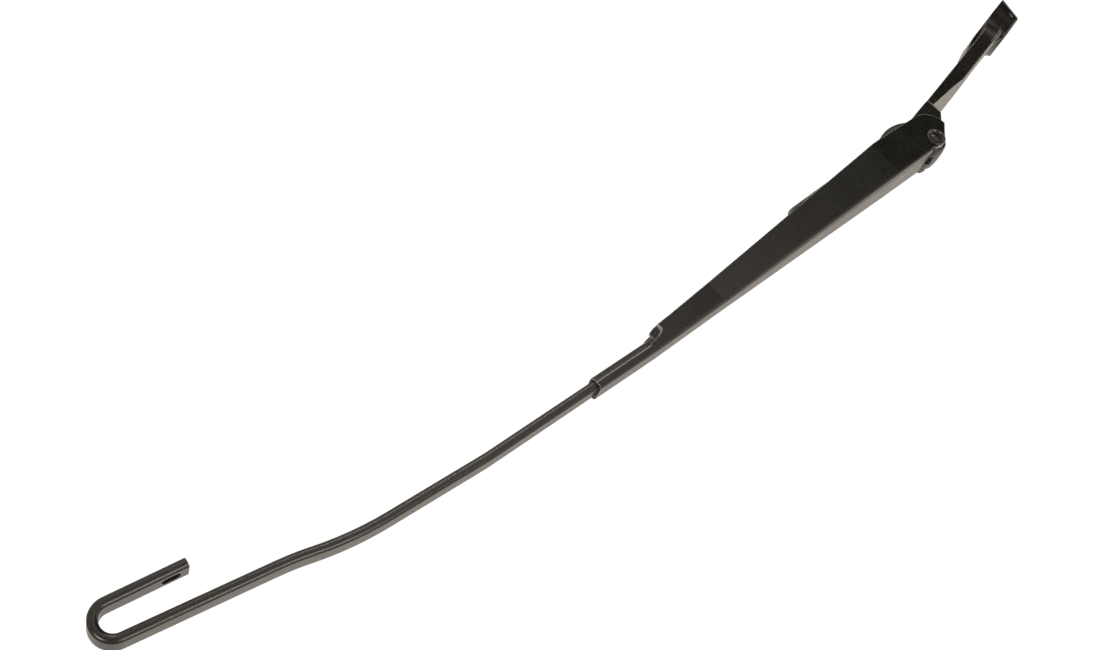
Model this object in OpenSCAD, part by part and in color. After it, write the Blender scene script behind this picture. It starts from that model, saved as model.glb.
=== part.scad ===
// Side-hinged wiper arm: cast mounting head, folded sheet channel, flat-bar rod with a J hook,
// hinge rivet and bushes, and the tension spring with its C-shaped link.
// Units are millimetres. The origin is on the spindle axis at the head's seat face, +Z points
// away from the glass and +X runs from the spindle towards the hinge and the hook.

/* [Head] */
// Distance from the spindle axis to the hinge axis
head_len = 106.2; // [100:0.2:112]
// Height of the hinge axis above the seat face
hinge_h = 17.1; // [16.9:0.1:17.5]
// Radius of the round spindle end at the seat face
boss_r = 14.3; // [14.0:0.1:14.7]
// Width of the head's shank
shank_w = 15.0; // [13.6:0.2:15.4]
// Height of the shank's outer face above the seat face
shank_top = 10.8; // [10.7:0.1:11.0]
// Width of the knuckle between the channel's sides
knuckle_w = 16.0; // [15.6:0.1:16.0]
// Radius of the knuckle
knuckle_r = 7.05; // [6.95:0.05:7.1]

/* [Spindle seat] */
// Radius of the threaded end's clearance hole
spindle_r = 4.2; // [3.2:0.1:5.0]
// Radius of the seat's plain lead-in
lead_r = 6.1; // [6.1:0.1:6.4]
// Radius to the roots of the knurled seat
knurl_r = 5.7; // [5.3:0.1:6.0]
// Number of grooves in the knurled seat
knurl_n = 36; // [24:2:48]
// Radius of the nut recess
nut_r = 9.5; // [8.5:0.1:10]

/* [Channel] */
// Sheet thickness
sheet = 1.2; // [1.1:0.05:1.25]
// Width over the sides at the hinge
chan_w = 19.6; // [19.4:0.1:20.4]
// Height of the web's outer face above the hinge axis
web_z = 4.7; // [4.7:0.05:4.9]
// Distance from the hinge axis to the crimped end
chan_len = 237.4; // [228:0.2:244]
// Angle by which the spring folds the channel towards the glass
fold = 11.7; // [6:0.1:16]

/* [Rod] */
// Width of the flat bar
bar_w = 9.0; // [9.0:0.05:9.05]
// Thickness of the flat bar
bar_t = 4.0; // [3.95:0.05:4.0]
// Centre-line radius of the hook
hook_r = 7.2; // [7:0.1:8]
// Straight length of the hook's return leg
hook_leg = 31.7; // [24:0.1:33]

/* [Spring] */
// Wire diameter
wire_d = 2.1; // [1.8:0.05:2.2]
// Coil outside diameter
coil_d = 10.4; // [9.8:0.1:10.6]
// Number of close turns
turns = 20; // [16:1:20]

/* [Hidden] */
$fn = 96;
hx = head_len;
hz = hinge_h;
hw = chan_w / 2;
web_i = web_z - sheet;
hin = hw - sheet;
kw = knuckle_w / 2;
rivet_r = 3.0;
bush_r = 3.6;
bush_gap = 0.05;
pin_r = 2.5;
pin_ax = -6.0;
pin_az = -11.0;
crimp_x = 201.5;
crimp_a = 1.39;
bar_z = web_i - bar_t / 2;
wr = wire_d / 2;
cr = coil_d / 2 - wr;
anc_x = 94.4;
anc_z = -9.6;
link_l = 32;
link_a = atan2(anc_z - pin_az, anc_x - pin_ax);
link_w = 5.2;
link_t = 1.9;
back_h = 8.6;
back_c = 16.7;
back_r = 25.4;
eye_in = 1.85;
eye_out = 3.0;
slot_w = 6.4;
coil_p = wire_d - 0.06;
coil_x0 = 40.6;
spr_l = sqrt((anc_x - pin_ax) * (anc_x - pin_ax) + (anc_z - pin_az) * (anc_z - pin_az));

// Places children given in the channel's own frame: origin on the hinge axis, +X along the web
module in_arm() { translate([hx, 0, hz]) rotate([0, fold, 0]) children(); }

// Extrudes a side-view shape (x, z) across the width, from y0 to y1
module across(y0, y1) { translate([0, y1, 0]) rotate([90, 0, 0]) linear_extrude(y1 - y0) children(); }

// Extrudes an end-view shape (y, z) along x, from x0 to x1
module along(x0, x1) { translate([x0, 0, 0]) rotate([90, 0, 90]) linear_extrude(x1 - x0) children(); }

// Cylinder along y
module ycyl(r, y0, y1) { translate([0, y1, 0]) rotate([90, 0, 0]) cylinder(h = y1 - y0, r = r); }

/* ---------- mounting head ---------- */

// Side view of the shank, with the rise of its lower edge beside the spindle end
module shank_side() {
    polygon([[0, 0], [8, 0], [9.5, 0.12], [11, 0.5], [12.5, 1.0], [14, 1.55], [15.5, 1.95],
             [17, 2.2], [19, 2.3], [90.5, 2.3], [90.5, shank_top + 1.2], [88.6, shank_top],
             [60, shank_top], [50, shank_top - 0.08], [42, shank_top - 0.25], [36, shank_top - 0.4], [0, shank_top - 0.4]]);
}

module shank_end() {
    r = 2.8; w = shank_w / 2;
    translate([-w + r, -1]) square([2 * (w - r), shank_top + 1]);
    translate([-w, -1]) square([2 * w, shank_top + 1 - r]);
    for (s = [-1, 1]) translate([s * (w - r), shank_top - r]) circle(r);
}

// Plan of the flare that blends the shank into the round spindle end
flare_r = 22;
flare_b = 13.2;
module flare_plan(d) {
    w = shank_w / 2;
    xf = sqrt((flare_b + flare_r) * (flare_b + flare_r) - (w + flare_r) * (w + flare_r));
    k = flare_b / (flare_b + flare_r);
    difference() {
        polygon([[0, -flare_b + d], [xf * k, -(w + flare_r) * k + d], [xf, -w + d], [xf, w - d], [xf * k, (w + flare_r) * k - d],
                 [0, flare_b - d]]);
        for (s = [-1, 1]) translate([xf, s * (w + flare_r)]) circle(flare_r + d, $fn = 192);
    }
}

// Flare of one layer after another, stepping in along the rounded outer corner
module flare() {
    r = 2.8;
    intersection() {
        across(-20, 20) shank_side();
        union() {
            linear_extrude(shank_top - r) flare_plan(0);
            for (i = [1 : 5]) translate([0, 0, shank_top - r - 0.01]) linear_extrude(r * sin(i * 18) + 0.01)
                flare_plan(r - r * cos((i - 1) * 18 + 9));
        }
    }
}

// Slanted facets that thin the shank's outer corners towards the hinge
module shank_facets() {
    for (s = [-1, 1]) scale_y(s)
        translate([88, shank_w / 2, shank_top - 5.2])
            rotate([0, 6.5, 0]) rotate([-42, 0, 0]) translate([-70, -20, 0]) cube([80, 40, 14]);
}

// Round spindle end: its outer face is smaller than the seat and set towards the hinge
module spindle_end() {
    hull() {
        cylinder(h = 0.4, r = boss_r);
        translate([1.9, 0, shank_top + 1.2]) cylinder(h = 0.1, r = boss_r - 2.1);
        translate([1.9, 0, shank_top + 1.75]) cylinder(h = 0.1, r = boss_r - 2.7);
    }
    // ramp from the outer face down to the shank
    intersection() {
        translate([1.9, 0, shank_top - 0.7]) cylinder(h = 2.3, r1 = boss_r + 1.6, r2 = boss_r - 2.6);
        linear_extrude(30) union() { flare_plan(2.2); translate([10, -shank_w / 2 + 2.2]) square([12, shank_w - 4.4]); }
    }
}

// Pad round the spindle seat, carried on under the shank
module seat_pad() {
    intersection() {
        across(-6, 6) polygon([[0, 0], [20, 0], [23, 0.12], [26, 0.42], [29, 0.85], [32, 1.35], [35, 1.8], [37, 2.1], [37, 3.2], [0, 3.2]]);
        linear_extrude(4) union() { translate([0, -5.6]) square([31.4, 11.2]); translate([31.4, 0]) circle(5.6); }
    }
}
module scale_y(s) { if (s > 0) children(); else mirror([0, 1, 0]) children(); }

// Side view of the root and its cheeks
module root_side() {
    difference() {
        union() {
            polygon([[87.0, 2.2], [90, 2.05], [head_len - 3.6, 2.0], [head_len - 1.2, 4.6], [head_len + 3.2, 11.0],
                     [head_len, 17.1], [head_len - 5.2, 21.0], [head_len - 9.8, 18.4], [91.6, 13.8], [90.2, 13.0],
                     [87.1, 11.2], [86.5, 7.7], [85.75, 4.4], [85.6, 2.9]]);
        }
        translate([head_len - 8.2, 26.7]) circle(3.6);
    }
}

module root_plan() {
    r = 0.7; x0 = 85.4;
    translate([x0 + r, -kw]) square([head_len - x0 + 6, 2 * kw]);
    translate([x0, -kw + r]) square([r + 1, 2 * (kw - r)]);
    for (s = [-1, 1]) translate([x0 + r, s * (kw - r)]) circle(r);
}

// Knuckle turned about the hinge axis, barrel-shaped with rounded rims
module knuckle() {
    r = knuckle_r; k = kw;
    translate([hx, 0, hz]) rotate([90, 0, 0]) rotate_extrude()
        polygon(concat([[0, -k]], [for (q = [[1, -1.2], [0.97, -0.8], [0.92, -0.58], [0.75, -0.34], [0.5, -0.13], [0.25, -0.03], [0, 0]])
                    [r + q[1], -k * q[0]]],
                       [for (q = [[0.25, -0.03], [0.5, -0.13], [0.75, -0.34], [0.92, -0.58], [0.97, -0.8], [1, -1.2]])
                    [r + q[1], k * q[0]]], [[0, k]]));
}

// Room for the spring link inside the root and in front of the knuckle
module link_slot() {
    px = hx + pin_ax * cos(fold) + pin_az * sin(fold);
    pz = hz - pin_ax * sin(fold) + pin_az * cos(fold);
    across(-slot_w / 2, slot_w / 2) {
        difference() {
            union() {
                translate([px, pz]) circle(4.9);
                translate([px - 4.9, -8]) square([40, pz + 8]);
                translate([px, pz - 2]) square([30, 6.9]);
                translate([hx, -8]) square([30, hz + 8]);
                translate([hx + 3.2, -8]) square([30, hz + 13.2]);
            }
            translate([hx, hz]) circle(4.4);
        }
    }
}

module knurl2d() {
    n = knurl_n;
    polygon([for (i = [0 : 2 * n - 1]) let (r = knurl_r - (i % 2) * 0.45) [r * cos(i * 180 / n), r * sin(i * 180 / n)]]);
}

module mounting_head() {
    color([0.08, 0.08, 0.08])
    difference() {
        union() {
            spindle_end();
            flare();
            seat_pad();
            difference() {
                intersection() { across(-20, 20) shank_side(); along(-1, 92) shank_end(); }
                shank_facets();
            }
            intersection() {
                across(-kw, kw) root_side();
                translate([0, 0, -1]) linear_extrude(40) root_plan();
            }
            knuckle();
        }
        // spindle seat with its plain lead-in, clearance hole and nut recess
        translate([0, 0, -1]) cylinder(h = 2.2, r = lead_r);
        translate([0, 0, -1]) linear_extrude(7.5) knurl2d();
        translate([0, 0, -1]) cylinder(h = 20, r = spindle_r);
        translate([0, 0, 8.7]) cylinder(h = 10, r = nut_r);
        // hollow under the shank
        translate([0, 0, -1]) linear_extrude(9) pocket_plan();
        link_slot();
        // bores for the bushes and for the link's pin
        translate([hx, 0, hz]) ycyl(bush_r, -20, 20);
        translate([hx + pin_ax * cos(fold) + pin_az * sin(fold), 0, hz - pin_ax * sin(fold) + pin_az * cos(fold)])
            ycyl(pin_r, -20, 20);
    }
}

// Plan of the hollow under the shank: a long slot with rounded ends
module pocket_plan() {
    w = 4.9; x0 = 38; x1 = 84;
    translate([x0 + 2, -w]) square([x1 - x0 - 4, 2 * w]);
    translate([x0, -w + 2]) square([x1 - x0, 2 * w - 4]);
    for (x = [x0 + 2, x1 - 2], s = [-1, 1]) translate([x, s * (w - 2)]) circle(2);
}

/* ---------- hinge ---------- */

module link_pin() {
    color([0.35, 0.35, 0.36])
    translate([hx + pin_ax * cos(fold) + pin_az * sin(fold), 0, hz - pin_ax * sin(fold) + pin_az * cos(fold)])
        ycyl(pin_r, -kw + 0.2, kw - 0.2);
}

module bush() {
    difference() {
        union() {
            ycyl(bush_r, -kw, -2.4);
            ycyl(5.0, -kw - 0.3, -kw);
        }
        ycyl(rivet_r + bush_gap, -20, 0);
    }
}
module hinge_bush_near() { color([0.75, 0.74, 0.7]) translate([hx, 0, hz]) bush(); }
module hinge_bush_far() { color([0.75, 0.74, 0.7]) translate([hx, 0, hz]) mirror([0, 1, 0]) bush(); }

// Rolled rivet end on the near side: a raised rim round a dished middle, drawn above z = 0
module rivet_roll() {
    rotate_extrude() polygon([[0, 0], [4.7, 0], [4.88, 0.25], [4.88, 0.55], [4.7, 0.85], [4.4, 1.0], [4.05, 0.95],
        [3.75, 0.7], [3.3, 0.45], [2.7, 0.42], [2.1, 0.6], [1.3, 0.85], [0.6, 0.96], [0, 1.0]]);
}

// Rivet's set head on the far side: a thick round head with a soft edge, drawn above z = 0
module rivet_set() {
    rotate_extrude() polygon([[0, 0], [5.2, 0], [5.33, 0.2], [5.33, 2.2], [5.2, 2.65], [4.85, 3.0], [4.3, 3.17],
        [3.4, 3.2], [0, 3.2]]);
}
module hinge_rivet() {
    color([0.1, 0.1, 0.1])
    translate([hx, 0, hz]) {
        ycyl(rivet_r, -hw, hw);
        scale_y(-1) translate([0, hw, 0]) rotate([-90, 0, 0]) rivet_roll();
        translate([0, hw, 0]) rotate([-90, 0, 0]) rivet_set();
    }
}

/* ---------- channel ---------- */

// Corner of an end section, as points from the top round to the side
function arc8(r, y, z) = [for (i = [0 : 8]) [y + r * cos(90 - i * 11.25), z + r * sin(90 - i * 11.25)]];
module chan_sec(x, w, top, r) {
    p = arc8(r, w - r, top - r);
    translate([x, 0, 0]) rotate([90, 0, 90]) linear_extrude(0.01)
        polygon(concat([[0, top]], p, [[w, -30], [-w, -30]], [for (i = [8 : -1 : 0]) [-p[i][0], p[i][1]]]));
}
// Solid with the plan of the channel inset by d, rounded along its outer edges
module chan_block(d, top, r) {
    hull() { chan_sec(-16, hw - d, top, r); chan_sec(34, hw - d, top, r); chan_sec(160, 5.7 - d, top, r); }
    hull() { chan_sec(159.99, 5.7 - d, top, r); chan_sec(crimp_x, 5.7 - d, top, r); }
}

// Side view of the sheet: free edge, round end, chamfer, ear round the rivet, and shoulder
module chan_side() {
    difference() {
        union() {
            intersection() {
                translate([-0.5, -3.5]) circle(11.25);
                polygon([[-12.5, -20], [6, -20], [6, web_z], [-1.84, 5.0], [-5.0, 1.97], [-11.45, -3.3], [-12.5, -3.9]]);
            }
            circle(5.3);
            polygon([[-0.5, -14.75], [28, -15.6], [33, -15.62], [37, -15.3], [187, -5.19], [192, -4.96], [195.5, -4.76],
                     [198.5, -4.38], [200.5, -3.85], [crimp_x, -3.4], [crimp_x, web_z], [6.6, web_z], [4.0, 3.4], [-0.5, 4.6]]);
        }
        // relief notch beside the web's cut
        translate([5.9, 5.0]) circle(1.7);
    }
}

// Side view of the part of each flange that curls in towards the bar, behind an S-shaped line
module curl_side() {
    polygon([[195.2, -7], [195.2, -3.2], [195.22, -2.6], [195.3, -2.15], [195.5, -1.7], [196.1, -1.2], [197.1, -0.7],
             [198.8, -0.2], [200.8, 0.2], [202.07, 0.4], [202.07, -7]]);
}

// Closed section round the bar, in the crimp's frame: origin on the bar's centre line
module crimp_end() {
    w = 5.7; h = bar_t / 2 + sheet; r = 1.9;
    difference() {
        union() {
            // the sides lean in below the middle, where the sheet is folded round the bar
            polygon([[-w, h - r], [-w, -0.1], [-w + 0.1, -0.9], [-w + 0.78, -2.4], [-w + 1.15, -h + 0.3], [-w + 1.9, -h],
                     [w - 1.9, -h], [w - 1.15, -h + 0.3], [w - 0.78, -2.4], [w - 0.1, -0.9], [w, -0.1], [w, h - r]]);
            translate([-w + r, 0]) square([2 * (w - r), h]);
            for (s = [-1, 1]) translate([s * (w - r), h - r]) circle(r);
        }
        translate([-bar_w / 2, -bar_t / 2]) square([bar_w, bar_t]);
        translate([-0.6, -h - 1]) square([1.2, h]);
    }
}

module channel() {
    color([0.08, 0.08, 0.08])
    in_arm() union() {
        difference() {
            intersection() {
                chan_block(0, web_z, 2.0);
                across(-20, 20) chan_side();
            }
            difference() {
                chan_block(sheet, web_i, 0.8);
                translate([crimp_x - 0.2, -20, -30]) cube([10, 40, 60]);
            }
            // the web ends short of the knuckle
            translate([-20, -(hw - 2.0), -1]) cube([27.5, 2 * (hw - 2.0), 10]);
            translate([-20, -hin, -40]) cube([28, 2 * hin, 60]);
            across(-20, -5.3) curl_side();
            across(5.3, 20) curl_side();
            // the bar's bed
            translate([150, -bar_w / 2, bar_z - bar_t / 2]) cube([60, bar_w, bar_t]);
            translate([150, -bar_w / 2, -20]) cube([crimp_x - 149.9, bar_w, 20 + bar_z]);
        }
        translate([crimp_x + 60 * tan(crimp_a / 2), 0, bar_z]) rotate([0, crimp_a, 0])
            along(-0.98, (chan_len - crimp_x) / cos(crimp_a) - 60 * tan(crimp_a / 2)) crimp_end();
    }
}

/* ---------- hook rod ---------- */

tail_a = 13;
tail_r = 40;
tail_x0 = 91.1;
tail_z0 = -9.6;
tail_s = (bar_z - tail_z0 - 2 * tail_r * (1 - cos(tail_a))) / sin(tail_a);
x_flat = tail_x0 + 9 + 2 * tail_r * sin(tail_a) + tail_s * cos(tail_a);

// A run of the bar's centre line: straight length, or bend radius and angle (towards the glass
// when positive), cut into steps of [length, turn]
function run(l) = [[l, 0]];
function bend(r, a) = let (n = ceil(abs(a) / 3), d = a / n) [for (i = [1 : n]) [2 * r * sin(abs(d) / 2), d]];
steps = concat(run(9), bend(tail_r, -tail_a), run(tail_s), bend(tail_r, tail_a), run(crimp_x - x_flat),
               bend(60, crimp_a), run(92.4), bend(60, 2.58), run(46.9), bend(146.8, 12.72), bend(121.6, -6.54),
               run(59.8), bend(hook_r, 178.4), run(hook_leg));
function walk(p, i) = i == len(steps) ? [p] :
    let (h = p[2] + steps[i][1] / 2, q = [p[0] + steps[i][0] * cos(h), p[1] - steps[i][0] * sin(h), h + steps[i][1] / 2])
    concat([p], walk(q, i + 1));
way = walk([tail_x0, tail_z0, 0], 0);
last = way[len(way) - 1];
function side_pt(p, d) = [p[0] + d * sin(p[2]), p[1] + d * cos(p[2])];

module hook_rod() {
    color([0.1, 0.1, 0.1])
    in_arm() difference() {
        across(-bar_w / 2, bar_w / 2)
            polygon(concat([for (p = way) side_pt(p, bar_t / 2)],
                           [for (i = [len(way) - 1 : -1 : 0]) side_pt(way[i], -bar_t / 2)]));
        // hole for the spring's hook
        translate([anc_x, 0, anc_z - 10]) cylinder(h = 20, r = 1.9);
        // slot near the end of the return leg
        translate([last[0], 0, last[1]]) rotate([0, last[2], 0]) translate([-7, 0, 0]) {
            for (d = [-1.7, 1.7]) translate([d, 0, -4]) cylinder(h = 8, r = 2);
            translate([-1.7, -2, -4]) cube([3.4, 4, 8]);
        }
    }
}

/* ---------- spring and its link ---------- */

// Places children in the link's frame: origin on the link pin, +X along the spring's line
module in_link() { in_arm() translate([pin_ax, 0, pin_az]) rotate([0, -link_a, 0]) children(); }

// C-shaped strip in side view, curled round the pin at one end and into an eye at the other
module link_side() {
    yc = back_r - back_h;
    difference() {
        union() {
            circle(4.5);
            translate([link_l, 0]) circle(eye_out);
            intersection() {
                difference() {
                    translate([back_c, yc]) circle(back_r);
                    translate([back_c, yc]) circle(back_r - link_t);
                }
                translate([-1, -20]) square([link_l + 1.8, 19.4]);
            }
        }
        circle(pin_r + 0.05);
        translate([link_l, 0]) circle(eye_in);
        // the curled ends stay open by a slit
        translate([link_l - 4, 0.2]) square([3.6, 1.2]);
        translate([0.8, 1.2]) rotate(40) square([8, 1.1]);
    }
}

module spring_link() {
    color([0.3, 0.3, 0.31])
    in_link() {
        across(-link_w / 2, link_w / 2) intersection() { link_side(); translate([-10, -30]) square([10 + link_l - 3.6, 60]); }
        // the eye's end is necked to pass inside the spring's loop
        across(-1.3, 1.3) intersection() { link_side(); translate([link_l - 3.8, -30]) square([20, 60]); }
    }
}

module tension_spring() {
    lx = link_l + 0.25;
    color([0.28, 0.28, 0.29])
    in_link() {
        // close coils
        translate([coil_x0, 0, 0]) rotate([0, 90, 0]) rotate_extrude()
            for (i = [0 : turns - 1]) translate([cr, i * coil_p]) circle(wr, $fn = 48);
        // long loop through the link's eye, lying across the channel
        translate([lx + cr, 0, 0]) rotate([0, 0, 90]) rotate_extrude(angle = 180) translate([cr, 0]) circle(wr, $fn = 48);
        for (s = [-1, 1]) translate([lx + cr - 0.005, s * cr, 0]) rotate([0, 90, 0])
            cylinder(h = coil_x0 - lx - cr + 0.005, r = wr, $fn = 48);
        // hook through the rod's tail, lying along the channel
        translate([spr_l - cr, 0, 0]) rotate([90, 0, 0]) rotate([0, 0, -90]) rotate_extrude(angle = 250)
            translate([cr, 0]) circle(wr, $fn = 48);
        translate([coil_x0 + (turns - 1) * coil_p, 0, -cr]) rotate([0, 90, 0])
            cylinder(h = spr_l - cr - coil_x0 - (turns - 1) * coil_p, r = wr, $fn = 48);
    }
}

mounting_head();
link_pin();
hinge_bush_near();
hinge_bush_far();
hinge_rivet();
channel();
hook_rod();
spring_link();
tension_spring();
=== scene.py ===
import math

import bmesh
import bpy
from mathutils import Matrix, Vector


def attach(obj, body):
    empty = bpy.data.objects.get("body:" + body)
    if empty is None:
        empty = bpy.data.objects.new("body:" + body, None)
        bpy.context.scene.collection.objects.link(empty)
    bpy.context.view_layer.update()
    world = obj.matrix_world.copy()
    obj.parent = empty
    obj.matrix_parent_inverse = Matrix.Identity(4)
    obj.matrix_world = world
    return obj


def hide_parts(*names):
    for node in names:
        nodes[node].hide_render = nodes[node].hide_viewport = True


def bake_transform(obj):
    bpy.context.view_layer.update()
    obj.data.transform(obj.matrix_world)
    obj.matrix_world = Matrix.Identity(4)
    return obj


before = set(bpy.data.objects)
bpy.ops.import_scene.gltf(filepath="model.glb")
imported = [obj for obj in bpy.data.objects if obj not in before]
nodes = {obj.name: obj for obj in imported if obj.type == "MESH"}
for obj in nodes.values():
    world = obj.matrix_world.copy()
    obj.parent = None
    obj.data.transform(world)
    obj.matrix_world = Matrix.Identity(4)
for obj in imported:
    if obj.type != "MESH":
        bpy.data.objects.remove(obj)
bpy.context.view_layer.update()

scene = bpy.context.scene
scene.view_settings.view_transform = "Standard"
scene.view_settings.look = "None"
scene.view_settings.exposure = 0.0
scene.view_settings.gamma = 1.0

# ---------------------------------------------------------------- sizes (metres)
FOLD = math.radians(11.7)
HX, HZ = 0.1062, 0.0171
MM = 0.001


def arm(x, y, z):
    """A point given in the channel's own frame (millimetres) as a point of the part (metres)."""
    c, s = math.cos(FOLD), math.sin(FOLD)
    return Vector((HX + (x * c + z * s) * MM, y * MM, HZ + (-x * s + z * c) * MM))


def arm_dir(x, y, z):
    c, s = math.cos(FOLD), math.sin(FOLD)
    return Vector((x * c + z * s, y, -x * s + z * c))


# ---------------------------------------------------------------- material helpers
def new_material(name):
    m = bpy.data.materials.new(name)
    m.use_nodes = True
    nt = m.node_tree
    for n in list(nt.nodes):
        nt.nodes.remove(n)
    out = nt.nodes.new("ShaderNodeOutputMaterial")
    bsdf = nt.nodes.new("ShaderNodeBsdfPrincipled")
    nt.links.new(bsdf.outputs["BSDF"], out.inputs["Surface"])
    return m, nt, bsdf


def noise(nt, coord, scale, detail=3.0, rough=0.5):
    n = nt.nodes.new("ShaderNodeTexNoise")
    n.inputs["Scale"].default_value = scale
    n.inputs["Detail"].default_value = detail
    n.inputs["Roughness"].default_value = rough
    nt.links.new(coord, n.inputs["Vector"])
    return n.outputs["Fac"]


def ramp(nt, fac, stops):
    r = nt.nodes.new("ShaderNodeValToRGB")
    el = r.color_ramp.elements
    while len(el) < len(stops):
        el.new(0.5)
    for e, (p, c) in zip(el, stops):
        e.position = p
        e.color = (c, c, c, 1) if not isinstance(c, tuple) else (*c, 1)
    nt.links.new(fac, r.inputs["Fac"])
    return r.outputs["Color"]


def remap(nt, fac, lo, hi, a=0.3, b=0.7):
    r = nt.nodes.new("ShaderNodeMapRange")
    r.inputs["From Min"].default_value = a
    r.inputs["From Max"].default_value = b
    r.inputs["To Min"].default_value = lo
    r.inputs["To Max"].default_value = hi
    nt.links.new(fac, r.inputs["Value"])
    return r.outputs["Result"]


def satin_paint(name, dark, light, rough, grain=2600.0, bump=0.10, round_mm=0.35, specks=0.0, spec=0.5, edge=0.0):
    """Satin black paint: slow colour and gloss variation, a fine orange-peel, softened edges, a few specks and, with
    edge, painted highlight lines along the sharp edges.
    """
    m, nt, b = new_material(name)
    tc = nt.nodes.new("ShaderNodeTexCoord")
    co = tc.outputs["Object"]
    n1 = noise(nt, co, 70.0, 4.0, 0.6)
    n2 = noise(nt, co, 900.0, 3.0, 0.6)
    base = ramp(nt, n1, [(0.30, dark), (0.72, light)])
    if specks > 0:
        n4 = noise(nt, co, 1500.0, 1.0, 0.4)
        sp = remap(nt, n4, 0.0, 1.0, 0.735, 0.775)
        mix = nt.nodes.new("ShaderNodeMix")
        mix.data_type = "RGBA"
        mul = nt.nodes.new("ShaderNodeMath")
        mul.operation = "MULTIPLY"
        mul.inputs[1].default_value = specks
        nt.links.new(sp, mul.inputs[0])
        nt.links.new(mul.outputs[0], mix.inputs["Factor"])
        nt.links.new(base, mix.inputs["A"])
        mix.inputs["B"].default_value = (0.32, 0.31, 0.29, 1)
        base = mix.outputs["Result"]
    if edge > 0:
        # painted highlight: fine lighter lines along the sharp edges, standing in for the light the rounded edges
        # catch
        be = nt.nodes.new("ShaderNodeBevel")
        be.samples = 8
        be.inputs["Radius"].default_value = edge * MM
        ge = nt.nodes.new("ShaderNodeNewGeometry")
        dot = nt.nodes.new("ShaderNodeVectorMath")
        dot.operation = "DOT_PRODUCT"
        nt.links.new(be.outputs["Normal"], dot.inputs[0])
        nt.links.new(ge.outputs["Normal"], dot.inputs[1])
        sharp_edge_mask = remap(nt, dot.outputs["Value"], 0.0, 1.0, 0.992, 0.90)
        edge_highlight = nt.nodes.new("ShaderNodeMath")
        edge_highlight.operation = "MULTIPLY"
        nt.links.new(sharp_edge_mask, edge_highlight.inputs[0])
        nt.links.new(remap(nt, noise(nt, co, 260.0, 3.0, 0.6), 0.35, 1.0), edge_highlight.inputs[1])
        mixe = nt.nodes.new("ShaderNodeMix")
        mixe.data_type = "RGBA"
        nt.links.new(edge_highlight.outputs[0], mixe.inputs["Factor"])
        nt.links.new(base, mixe.inputs["A"])
        mixe.inputs["B"].default_value = (0.38, 0.38, 0.38, 1)
        base = mixe.outputs["Result"]
    nt.links.new(base, b.inputs["Base Color"])
    mixr = nt.nodes.new("ShaderNodeMath")
    mixr.operation = "ADD"
    nt.links.new(remap(nt, n1, -0.03, 0.03), mixr.inputs[0])
    nt.links.new(remap(nt, n2, rough - 0.05, rough + 0.05), mixr.inputs[1])
    nt.links.new(mixr.outputs[0], b.inputs["Roughness"])
    b.inputs["Specular IOR Level"].default_value = spec
    n3 = noise(nt, co, grain, 2.0, 0.5)
    bp = nt.nodes.new("ShaderNodeBump")
    bp.inputs["Strength"].default_value = bump
    bp.inputs["Distance"].default_value = 0.00012
    nt.links.new(n3, bp.inputs["Height"])
    if round_mm > 0:
        bv = nt.nodes.new("ShaderNodeBevel")
        bv.samples = 6
        bv.inputs["Radius"].default_value = round_mm * MM
        nt.links.new(bv.outputs["Normal"], bp.inputs["Normal"])
    nt.links.new(bp.outputs["Normal"], b.inputs["Normal"])
    return m


def steel(name, dark, light, rough, metallic=0.9, grain=1800.0, bump=0.08):
    m, nt, b = new_material(name)
    tc = nt.nodes.new("ShaderNodeTexCoord")
    co = tc.outputs["Object"]
    n1 = noise(nt, co, 120.0, 4.0, 0.6)
    nt.links.new(ramp(nt, n1, [(0.3, dark), (0.7, light)]), b.inputs["Base Color"])
    nt.links.new(remap(nt, noise(nt, co, 700.0), rough - 0.07, rough + 0.07), b.inputs["Roughness"])
    b.inputs["Metallic"].default_value = metallic
    bp = nt.nodes.new("ShaderNodeBump")
    bp.inputs["Strength"].default_value = bump
    bp.inputs["Distance"].default_value = 0.0001
    nt.links.new(noise(nt, co, grain), bp.inputs["Height"])
    nt.links.new(bp.outputs["Normal"], b.inputs["Normal"])
    return m


M_HEAD = satin_paint("head_paint", (0.0075, 0.0072, 0.0066), (0.0115, 0.011, 0.010), 0.25, round_mm=0.45, specks=0.5, edge=0.55)
M_CHAN = satin_paint("channel_paint", (0.0050, 0.0052, 0.0046), (0.0084, 0.0086, 0.0076), 0.24, round_mm=0.35, edge=0.6, bump=0.06)


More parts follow.
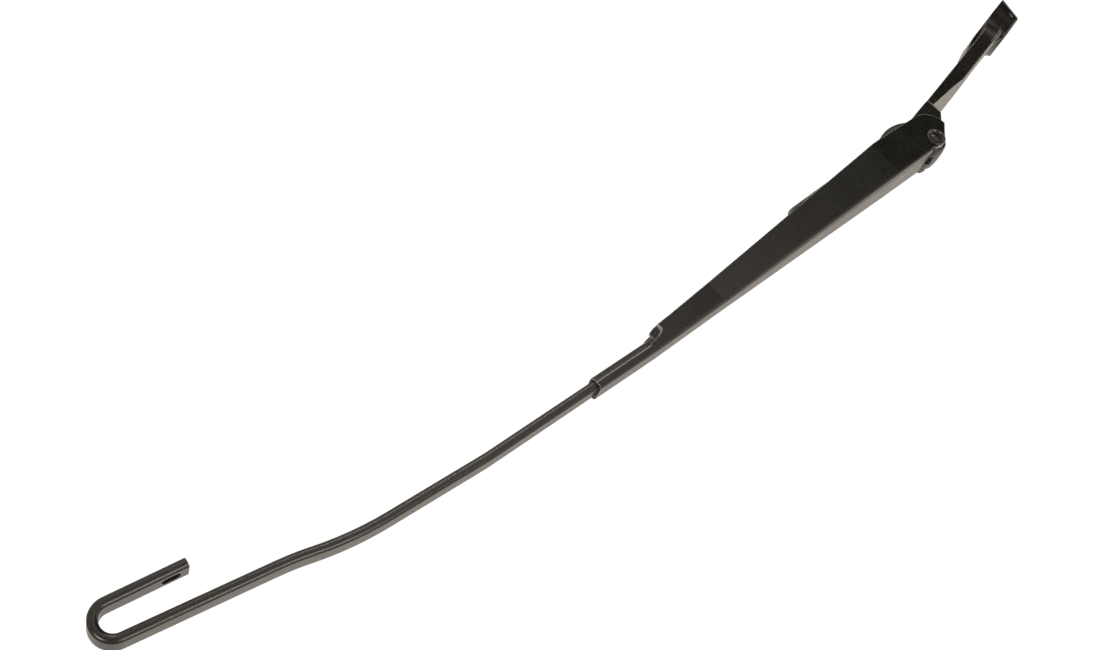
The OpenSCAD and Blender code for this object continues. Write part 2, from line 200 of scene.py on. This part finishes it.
def matt_boss_and_shoulder_highlight(mat):
    """The cast boss is duller than the machined-smooth shank; a painted highlight line runs along the root's front
    shoulder.
    """
    nt = mat.node_tree
    b = next(n for n in nt.nodes if n.type == "BSDF_PRINCIPLED")
    sep = nt.nodes.new("ShaderNodeSeparateXYZ")
    nt.links.new(nt.nodes.new("ShaderNodeTexCoord").outputs["Object"], sep.inputs[0])
    nt.links.new(remap(nt, sep.outputs["X"], 0.14, 0.5, 0.012, 0.018), b.inputs["Specular IOR Level"])

    # painted highlight along the root's front shoulder: how far each point lies behind that leaning edge
    def calc(kind, x, y):
        n = nt.nodes.new("ShaderNodeMath")
        n.operation = kind
        for i, q in enumerate((x, y)):
            if isinstance(q, float):
                n.inputs[i].default_value = q
            else:
                nt.links.new(q, n.inputs[i])
        return n.outputs[0]

    behind = calc("SUBTRACT", sep.outputs["X"], calc("ADD", calc("MULTIPLY", sep.outputs["Z"], 0.17), 85.12 * MM))
    line = calc("MULTIPLY", remap(nt, behind, 0.0, 1.0, -0.2 * MM, 0.15 * MM), remap(nt, behind, 1.0, 0.0, 0.35 * MM, 0.75 * MM))
    line = calc("MULTIPLY", line, remap(nt, sep.outputs["Z"], 1.0, 0.0, 11.2 * MM, 12.0 * MM))
    # a light grey is mixed into the paint along that edge as a painted highlight
    mix = nt.nodes.new("ShaderNodeMix")
    mix.data_type = "RGBA"
    nt.links.new(calc("MULTIPLY", line, 0.55), mix.inputs["Factor"])
    nt.links.new(b.inputs["Base Color"].links[0].from_socket, mix.inputs["A"])
    mix.inputs["B"].default_value = (0.34, 0.33, 0.32, 1)
    nt.links.new(mix.outputs["Result"], b.inputs["Base Color"])


matt_boss_and_shoulder_highlight(M_HEAD)


def fold_bump_and_highlight(mat):
    """Relief of the S-shaped fold where the crimp opens into the flange: a soft step on both sides, with a painted
    highlight line along the fold and along the crimp's crease.
    """
    nt = mat.node_tree
    b = next(n for n in nt.nodes if n.type == "BSDF_PRINCIPLED")
    old = b.inputs["Normal"].links[0].from_socket
    tc = nt.nodes.new("ShaderNodeTexCoord")

    def along(d, at):
        n = nt.nodes.new("ShaderNodeVectorMath")
        n.operation = "DOT_PRODUCT"
        n.inputs[1].default_value = d
        nt.links.new(tc.outputs["Object"], n.inputs[0])
        m = nt.nodes.new("ShaderNodeMath")
        m.operation = "SUBTRACT"
        m.inputs[1].default_value = d.dot(at)
        nt.links.new(n.outputs["Value"], m.inputs[0])
        return m.outputs[0]

    def smooth(val, f0, f1, t0, t1):
        n = nt.nodes.new("ShaderNodeMapRange")
        n.interpolation_type = "SMOOTHSTEP"
        for k, w in zip(("From Min", "From Max", "To Min", "To Max"), (f0, f1, t0, t1)):
            n.inputs[k].default_value = w
        nt.links.new(val, n.inputs["Value"])
        return n.outputs["Result"]

    def op(kind, x, y):
        n = nt.nodes.new("ShaderNodeMath")
        n.operation = kind
        for i, q in enumerate((x, y)):
            if isinstance(q, float):
                n.inputs[i].default_value = q
            else:
                nt.links.new(q, n.inputs[i])
        return n.outputs[0]

    # distance in front of the fold's line: x of the line is a smooth curve of the height on the flange
    x = along(arm_dir(1, 0, 0), arm(0, 0, 0))
    z = along(arm_dir(0, 0, 1), arm(0, 0, 0))
    line = op("ADD", op("MULTIPLY", op("POWER", remap(nt, z, 0.0, 1.0, -3.2 * MM, 1.3 * MM), 3.5), 15.0 * MM), 195.2 * MM)
    front = op("SUBTRACT", x, line)
    stepped = smooth(front, -0.9 * MM, 1.5 * MM, 0.0, -1.0)
    keep = op("MULTIPLY", smooth(x, 191 * MM, 193 * MM, 0.0, 1.0), smooth(z, 1.5 * MM, 2.2 * MM, 1.0, 0.0))
    keep = op("MULTIPLY", keep, smooth(x, 204 * MM, 207 * MM, 1.0, 0.0))
    # painted highlight: a light band just along the S-shaped fold's line
    fold_highlight = op("MULTIPLY", smooth(front, -0.8 * MM, -0.1 * MM, 0.0, 1.0), smooth(front, 0.2 * MM, 1.0 * MM, 1.0, 0.0))
    fold_highlight = op("MULTIPLY", fold_highlight, keep)
    # painted highlight along the fold's line on the crimp, 0.1 mm below the middle of the bar
    dz = op("ADD", op("SUBTRACT", z, 1.4 * MM), op("MULTIPLY", op("SUBTRACT", x, 202.2 * MM), 0.0243))
    crease_highlight = op("MULTIPLY", smooth(dz, -0.45 * MM, -0.05 * MM, 0.0, 1.0), smooth(dz, 0.05 * MM, 0.45 * MM, 1.0, 0.0))
    crease_highlight = op("MULTIPLY", crease_highlight, smooth(x, 203.5 * MM, 206 * MM, 0.0, 0.75))
    # both painted highlights mix a light grey into the paint
    mix = nt.nodes.new("ShaderNodeMix")
    mix.data_type = "RGBA"
    nt.links.new(op("MAXIMUM", fold_highlight, crease_highlight), mix.inputs["Factor"])
    nt.links.new(b.inputs["Base Color"].links[0].from_socket, mix.inputs["A"])
    mix.inputs["B"].default_value = (0.30, 0.30, 0.30, 1)
    nt.links.new(mix.outputs["Result"], b.inputs["Base Color"])
    bp = nt.nodes.new("ShaderNodeBump")
    bp.inputs["Strength"].default_value = 1.0
    bp.inputs["Distance"].default_value = 0.0003
    nt.links.new(op("MULTIPLY", stepped, keep), bp.inputs["Height"])
    nt.links.new(old, bp.inputs["Normal"])
    nt.links.new(bp.outputs["Normal"], b.inputs["Normal"])


fold_bump_and_highlight(M_CHAN)
M_ROD = satin_paint("rod_paint", (0.012, 0.0113, 0.0105), (0.016, 0.015, 0.014), 0.27, round_mm=0.0, bump=0.04)
M_RIV = satin_paint("rivet_paint", (0.012, 0.0113, 0.0105), (0.016, 0.015, 0.014), 0.22, round_mm=0.12, edge=0.35)
M_LINK = steel("link_finish", (0.10, 0.10, 0.10), (0.17, 0.17, 0.17), 0.42)
M_SPR = steel("spring_finish", (0.10, 0.10, 0.105), (0.18, 0.18, 0.18), 0.38)
M_PIN = steel("pin_finish", (0.35, 0.35, 0.36), (0.5, 0.5, 0.5), 0.35)
M_BUSH = satin_paint("bush_finish", (0.45, 0.44, 0.40), (0.55, 0.54, 0.5), 0.5, round_mm=0.2)


def paint_node(name, mat):
    o = nodes[name]
    o.data.materials.clear()
    o.data.materials.append(mat)


for n, m in (("mounting_head", M_HEAD), ("channel", M_CHAN), ("hook_rod", M_ROD), ("hinge_rivet", M_RIV),
             ("spring_link", M_LINK), ("tension_spring", M_SPR), ("link_pin", M_PIN),
             ("hinge_bush_near", M_BUSH), ("hinge_bush_far", M_BUSH)):
    paint_node(n, m)

# ---------------------------------------------------------------- mesh helpers
def mesh_object(name, verts, faces, mat, smooth=True):
    me = bpy.data.meshes.new(name)
    me.from_pydata([tuple(v) for v in verts], [], faces)
    me.update()
    o = bpy.data.objects.new(name, me)
    bpy.context.collection.objects.link(o)
    if smooth:
        me.polygons.foreach_set("use_smooth", [True] * len(me.polygons))
    me.materials.append(mat)
    return o


def sweep(points, ups, section, cap=True):
    """Rings of a section (pairs along side and up) set along points; ups are the up directions."""
    verts, faces, n = [], [], len(section)
    for i, (p, u) in enumerate(zip(points, ups)):
        a = points[max(i - 1, 0)]
        b = points[min(i + 1, len(points) - 1)]
        t = (b - a).normalized()
        side = t.cross(u).normalized()
        up = side.cross(t).normalized()
        for x, y in section:
            verts.append(p + side * x + up * y)
    for i in range(len(points) - 1):
        for j in range(n):
            k = (j + 1) % n
            faces.append((i * n + j, i * n + k, (i + 1) * n + k, (i + 1) * n + j))
    if cap:
        faces.append(tuple(reversed(range(n))))
        faces.append(tuple((len(points) - 1) * n + j for j in range(n)))
    return verts, faces


def fix_normals(o):
    bm = bmesh.new()
    bm.from_mesh(o.data)
    bmesh.ops.recalc_face_normals(bm, faces=bm.faces)
    bm.to_mesh(o.data)
    bm.free()


def sharp_by_angle(o, deg):
    """Smooth faces, with edges sharper than deg left hard."""
    bm = bmesh.new()
    bm.from_mesh(o.data)
    for f in bm.faces:
        f.smooth = True
    lim = math.radians(deg)
    for e in bm.edges:
        e.smooth = len(e.link_faces) == 2 and e.calc_face_angle(0.0) < lim
    bm.to_mesh(o.data)
    bm.free()


def applied(o):
    """Replaces the object's mesh by what its modifiers make of it."""
    dg = bpy.context.evaluated_depsgraph_get()
    dg.update()
    me = bpy.data.meshes.new_from_object(o.evaluated_get(dg))
    old = o.data
    o.modifiers.clear()
    o.data = me
    bpy.data.meshes.remove(old)


# ---------------------------------------------------------------- rod
BAR_T, BAR_W, WEB_I = 4.0, 9.0, 3.5
BAR_Z = WEB_I - BAR_T / 2
TAIL = (91.1, -9.6)
tail_s = (BAR_Z - TAIL[1] - 2 * 40 * (1 - math.cos(math.radians(13)))) / math.sin(math.radians(13))
x_flat = TAIL[0] + 9 + 2 * 40 * math.sin(math.radians(13)) + tail_s * math.cos(math.radians(13))
RUNS = [("s", 9), ("b", 40, -13), ("s", tail_s), ("b", 40, 13), ("s", 201.5 - x_flat), ("b", 60, 1.39), ("s", 92.4),
        ("b", 60, 2.58), ("s", 46.9), ("b", 146.8, 12.72), ("b", 121.6, -6.54), ("s", 59.8), ("b", 7.2, 178.4), ("s", 31.7)]


def bar_way(soft=0.0):
    """Centre line of the bar in the channel's frame: x, z and the heading below +X."""
    x, z, h = TAIL[0], TAIL[1], 0.0
    out = [(x, z, h)]
    for r in RUNS:
        if r[0] == "s":
            k = max(1, int(r[1] / 4.0))
            for i in range(k):
                d = r[1] / k
                x += d * math.cos(math.radians(h))
                z -= d * math.sin(math.radians(h))
                out.append((x, z, h))
        else:
            k = max(2, int(abs(r[2]) / 2.0))
            for i in range(k):
                a = r[2] / k
                d = 2 * r[1] * math.sin(math.radians(abs(a) / 2))
                m = math.radians(h + a / 2)
                x += d * math.cos(m)
                z -= d * math.sin(m)
                h += a
                out.append((x, z, h))
    return out


def round_rect(w, t, r, k=5):
    pts = []
    for cx, cy, a0 in ((w / 2 - r, t / 2 - r, 0), (-w / 2 + r, t / 2 - r, 90), (-w / 2 + r, -t / 2 + r, 180), (w / 2 - r, -t / 2 + r, 270)):
        for i in range(k + 1):
            a = math.radians(a0 + 90 * i / k)
            pts.append(((cx + r * math.cos(a)) * MM, (cy + r * math.sin(a)) * MM))
    return pts


def bar_section(w, t, r, k=8):
    """Flat wide faces and narrow sides that bulge in an arc of radius r up to a clear edge."""
    a0 = math.asin(t / 2 / r)
    pts = []
    for sgn in (1, -1):
        for i in range(k + 1):
            a = -a0 + 2 * a0 * i / k
            pts.append((sgn * (w / 2 - r + r * math.cos(a)) * MM, sgn * r * math.sin(a) * MM))
    return pts


way = bar_way()
P = [arm(x, 0, z) for x, z, h in way]
Uv = [arm_dir(math.sin(math.radians(h)), 0, math.cos(math.radians(h))) for x, z, h in way]
v, f = sweep(P, Uv, bar_section(BAR_W - 0.01, BAR_T - 0.01, 2.6))
rod = mesh_object("rod_bar", v, f, M_ROD)
fix_normals(rod)


def cutter(name, centre, axis, along, length, width, depth):
    """A slot-shaped solid, centred, its long way along 'along' and its depth along 'axis'."""
    side = axis.cross(along).normalized()
    ring = []
    r, hl = width / 2, max(0.0, length / 2 - width / 2)
    for cx, a0 in ((hl, -90), (-hl, 90)):
        for i in range(13):
            a = math.radians(a0 + 180 * i / 12)
            ring.append((cx + r * math.cos(a), r * math.sin(a)))
    verts = []
    for s_ in (-1, 1):
        for x, y in ring:
            verts.append(centre + (along * x + side * y + axis * (s_ * depth / 2)) * MM)
    n = len(ring)
    faces = [(j, (j + 1) % n, n + (j + 1) % n, n + j) for j in range(n)]
    faces += [tuple(reversed(range(n))), tuple(n + j for j in range(n))]
    o = mesh_object(name, verts, faces, M_ROD, smooth=False)
    fix_normals(o)
    return o


ex, ez, eh = way[-1]
hd = math.radians(eh)
fwd = arm_dir(math.cos(hd), 0, -math.sin(hd))
nrm = arm_dir(math.sin(hd), 0, math.cos(hd))
slot_c = arm(ex, 0, ez) - fwd * 7 * MM
c1 = cutter("cut_slot", slot_c, nrm, fwd, 7.4, 4.0, 10.0)
c2 = cutter("cut_hole", arm(94.4, 0, -9.6), arm_dir(0, 0, 1), arm_dir(1, 0, 0), 3.8, 3.8, 14.0)
for c in (c1, c2):
    mod = rod.modifiers.new("cut", "BOOLEAN")
    mod.operation = "DIFFERENCE"
    mod.solver = "EXACT"
    mod.object = c
applied(rod)
for c in (c1, c2):
    bpy.data.objects.remove(c, do_unlink=True)
sharp_by_angle(rod, 35)
mod = rod.modifiers.new("soft_edges", "BEVEL")
mod.width = 0.12 * MM
mod.segments = 2
mod.limit_method = "ANGLE"
mod.angle_limit = math.radians(30)
mod.harden_normals = False
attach(rod, "arm")
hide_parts("hook_rod")

# ---------------------------------------------------------------- spring: the real helix with its loop and hook
LINK_A = math.atan2(-9.6 + 11.0, 94.4 + 6.0)
SPR_L = math.hypot(100.4, 1.4)


def link_pt(x, y, z):
    """A point in the spring link's frame (millimetres): origin on its pin, +X along the spring's line."""
    c, s_ = math.cos(LINK_A), math.sin(LINK_A)
    return arm(-6.0 + x * c - z * s_, y, -11.0 + x * s_ + z * c)


WR, CR, TURNS, COIL0, COIL_L = 1.05, 4.15, 17, 40.6, 38.6
LX = 32.25
pts = []
# long loop round the link's eye, lying across the channel: up one side, round and back
x_end = COIL0 - 1.5
for i in range(9):
    pts.append((x_end - (x_end - LX - CR) * i / 8.0, -CR, 0.0))
for i in range(1, 17):
    a = math.radians(-90 - 180 * i / 16)
    pts.append((LX + CR + CR * math.cos(a), CR * math.sin(a), 0.0))
for i in range(1, 9):
    pts.append((LX + CR + (x_end + 0.5 - LX - CR) * i / 8.0, CR, 0.0))
# helix
steps = 28
first = len(pts)
turn_pts = TURNS * steps + steps // 4 * 3
for i in range(turn_pts + 1):
    a = 2 * math.pi * i / steps
    pts.append((COIL0 + COIL_L * i / turn_pts, CR * math.cos(a), CR * math.sin(a)))
# from the coil's last quarter (lowest point) straight along to the hook
hx0 = SPR_L - CR + 0.45
xe = pts[-1][0]
for i in range(1, 5):
    pts.append((xe + (hx0 - xe) * i / 4.0, 0.0, -CR))
for i in range(1, 21):
    a = math.radians(-90 + 250 * i / 20)
    pts.append((hx0 + CR * math.cos(a), 0.0, CR * math.sin(a)))
# smooth the corners of the path a little
for _ in range(2):
    q = [pts[0]]
    for i in range(1, len(pts) - 1):
        if i < first + 3 or i > len(pts) - 27:
            q.append(tuple((pts[i - 1][k] + 2 * pts[i][k] + pts[i + 1][k]) / 4 for k in range(3)))
        else:
            q.append(pts[i])
    q.append(pts[-1])
    pts = q
P3 = [link_pt(*p) for p in pts]
circle = [(WR * MM * math.cos(2 * math.pi * j / 12), WR * MM * math.sin(2 * math.pi * j / 12)) for j in range(12)]
ups, up = [], link_pt(0, 0, 1) - link_pt(0, 0, 0)
up.normalize()
for i in range(len(P3)):
    a, b_ = P3[max(i - 1, 0)], P3[min(i + 1, len(P3) - 1)]
    t = (b_ - a).normalized()
    up = (up - t * up.dot(t))
    if up.length < 1e-6:
        up = t.orthogonal()
    up = up.normalized()
    ups.append(up.copy())
v, f = sweep(P3, ups, circle)
spring = mesh_object("spring_wire", v, f, M_SPR)
fix_normals(spring)
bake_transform(spring)
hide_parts("tension_spring")

# ---------------------------------------------------------------- floor, world, lights, camera
cam_pos = Vector((0.684272, -0.531543, 0.025520))
RIGHT = Vector((-0.566083, -0.251613, 0.785010))
UP = Vector((-0.611264, -0.510801, -0.604515))
BACK = Vector((0.553088, -0.822054, 0.135354))
# studio seen in the reflections, in one warm tint: a white sweep behind the part, a dimmer camera side with a
# few soft panels, and a dark gap on the left of the camera
WARM = (1.0, 0.91, 0.81)
PANELS = [((-0.573, -0.66, -0.48), 1.0, 7.0, 12.0), ((-0.446, -0.895, -0.04), 1.0, 6.0, 3.0),
          ((0.03, -0.78, 0.62), 4.0, 13.0, 8.0), ((0.62, -0.78, -0.10), 6.0, 15.0, 9.0),
          ((-0.05, 0.68, 0.73), 10.0, 32.0, 0.7)]


def studio(nt, ray):
    """Strength of the studio's light along a ray direction."""
    def along(d):
        n = nt.nodes.new("ShaderNodeVectorMath")
        n.operation = "DOT_PRODUCT"
        n.inputs[1].default_value = Vector(d).normalized()
        nt.links.new(ray, n.inputs[0])
        return n.outputs["Value"]

    def step(val, f0, f1, t0, t1):
        n = nt.nodes.new("ShaderNodeMapRange")
        n.interpolation_type = "SMOOTHSTEP"
        for k, w in zip(("From Min", "From Max", "To Min", "To Max"), (f0, f1, t0, t1)):
            n.inputs[k].default_value = w
        nt.links.new(val, n.inputs["Value"])
        return n.outputs["Result"]

    def math2(op, x, y):
        n = nt.nodes.new("ShaderNodeMath")
        n.operation = op
        nt.links.new(x, n.inputs[0])
        nt.links.new(y, n.inputs[1])
        return n.outputs[0]

    total = math2("MULTIPLY", step(along(-BACK), 0.0, 0.5, 0.80, 0.81),
                  step(along((-0.93, -0.37, 0.0)), 0.835, 0.905, 1.0, 0.03))
    total = math2("MULTIPLY", total, step(along(BACK), 0.695, 0.788, 1.0, 0.35))
    for d, r_in, r_out, power in PANELS:
        total = math2("ADD", total, step(along(d), math.cos(math.radians(r_out)), math.cos(math.radians(r_in)), 0.0, power))
    return total


floor_z = -0.42
bpy.ops.mesh.primitive_plane_add(size=14.0, location=(0.3, 0.0, floor_z))
floor = bpy.context.object
floor.name = "floor"
mf, nt, b = new_material("floor_white")
floor_tone = noise(nt, nt.nodes.new("ShaderNodeTexCoord").outputs["Object"], 1.5)
nt.links.new(ramp(nt, floor_tone, [(0.3, 0.90), (0.7, 0.93)]), b.inputs["Base Color"])
b.inputs["Roughness"].default_value = 0.9
b.inputs["Specular IOR Level"].default_value = 0.1
# over-exposed to plain white for the camera, and part of the same studio where it is reflected
geo = nt.nodes.new("ShaderNodeNewGeometry")
flip = nt.nodes.new("ShaderNodeVectorMath")
flip.operation = "SCALE"
flip.inputs["Scale"].default_value = -1.0
nt.links.new(geo.outputs["Incoming"], flip.inputs[0])
glossy = nt.nodes.new("ShaderNodeEmission")
glossy.inputs["Color"].default_value = (*WARM, 1)
nt.links.new(studio(nt, flip.outputs["Vector"]), glossy.inputs["Strength"])
glow = nt.nodes.new("ShaderNodeEmission")
glow.inputs["Strength"].default_value = 1.05
seen = nt.nodes.new("ShaderNodeLightPath")
mix1 = nt.nodes.new("ShaderNodeMixShader")
mix2 = nt.nodes.new("ShaderNodeMixShader")
nt.links.new(seen.outputs["Is Glossy Ray"], mix1.inputs[0])
nt.links.new(b.outputs["BSDF"], mix1.inputs[1])
nt.links.new(glossy.outputs["Emission"], mix1.inputs[2])
nt.links.new(seen.outputs["Is Camera Ray"], mix2.inputs[0])
nt.links.new(mix1.outputs[0], mix2.inputs[1])
nt.links.new(glow.outputs["Emission"], mix2.inputs[2])
for n in nt.nodes:
    if n.type == "OUTPUT_MATERIAL":
        nt.links.new(mix2.outputs[0], n.inputs["Surface"])
floor.data.materials.append(mf)

world = bpy.data.worlds.new("studio")
scene.world = world
world.use_nodes = True
wt = world.node_tree
for n in list(wt.nodes):
    wt.nodes.remove(n)
wo = wt.nodes.new("ShaderNodeOutputWorld")
bg_cam = wt.nodes.new("ShaderNodeBackground")
bg_cam.inputs["Color"].default_value = (1, 1, 1, 1)
bg_cam.inputs["Strength"].default_value = 1.05
bg_lit = wt.nodes.new("ShaderNodeBackground")
bg_lit.inputs["Color"].default_value = (*WARM, 1)
wt.links.new(studio(wt, wt.nodes.new("ShaderNodeTexCoord").outputs["Generated"]), bg_lit.inputs["Strength"])
lp = wt.nodes.new("ShaderNodeLightPath")
mixw = wt.nodes.new("ShaderNodeMixShader")
wt.links.new(lp.outputs["Is Camera Ray"], mixw.inputs[0])
wt.links.new(bg_lit.outputs[0], mixw.inputs[1])
wt.links.new(bg_cam.outputs[0], mixw.inputs[2])
wt.links.new(mixw.outputs[0], wo.inputs["Surface"])


def area(name, pos, target, size, power, color=(1, 1, 1)):
    l = bpy.data.lights.new(name, "AREA")
    l.shape = "RECTANGLE"
    l.size, l.size_y = size
    l.energy = power
    l.color = color
    o = bpy.data.objects.new(name, l)
    bpy.context.collection.objects.link(o)
    d = Vector(target) - Vector(pos)
    o.matrix_world = Matrix.Translation(Vector(pos)) @ d.to_track_quat("-Z", "Y").to_matrix().to_4x4()
    return o


area("key", (-0.85, 0.0, 1.05), (0.06, 0, 0.01), (0.8, 0.9), 6.8, (1.0, 0.90, 0.77))

cam = bpy.data.cameras.new("camera")
cam.sensor_fit = "HORIZONTAL"
cam.sensor_width = 36.0
cam.lens = 1528.387 * 36.0 / 1100.0
cam.clip_start = 0.01
cam.clip_end = 100.0
co = bpy.data.objects.new("camera", cam)
bpy.context.collection.objects.link(co)
co.matrix_world = Matrix(((RIGHT.x, UP.x, BACK.x, cam_pos.x), (RIGHT.y, UP.y, BACK.y, cam_pos.y),
                          (RIGHT.z, UP.z, BACK.z, cam_pos.z), (0, 0, 0, 1)))
scene.camera = co
